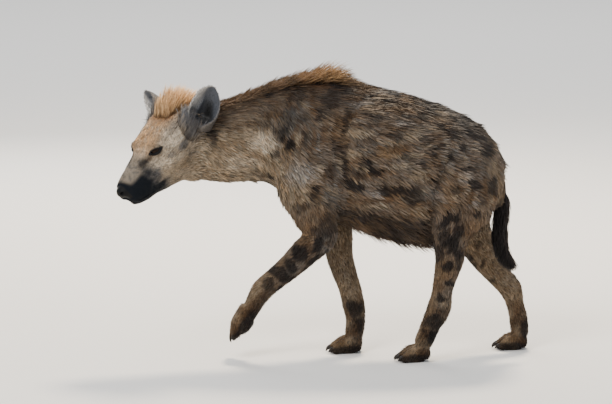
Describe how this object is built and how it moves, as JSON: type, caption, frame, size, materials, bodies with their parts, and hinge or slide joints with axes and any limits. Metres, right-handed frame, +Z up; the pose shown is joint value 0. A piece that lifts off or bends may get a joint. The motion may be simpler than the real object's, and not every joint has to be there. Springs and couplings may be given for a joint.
{
  "type": "spotted hyena",
  "caption": "Life-size still model of a spotted hyena walking with its head low, one forepaw lifted, for display on a level floor.",
  "frame": {"origin": "on the floor under the middle of the model's box", "axes": "+Z up, -X the way the hyena walks, -Y its left side"},
  "size_m": [1.191, 0.371, 0.8531],
  "materials": {
    "coat": "rough grey-brown coat with dark brown spots",
    "ear_coat": "short dark grey fur",
    "tail_hair": "long black hair",
    "eye": "wet dark brown eye"
  },
  "bodies": {
    "root": {"head": "coat", "ear_left": "ear_coat", "ear_right": "ear_coat", "eye_left": "eye", "eye_right": "eye", "neck": "coat", "torso": "coat", "tail": "tail_hair", "foreleg_left": "coat", "foreleg_right": "coat", "forepaw_left": "coat", "forepaw_right": "coat", "hindleg_left": "coat", "hindleg_right": "coat", "hindpaw_left": "coat", "hindpaw_right": "coat"}
  },
  "joints": []
}
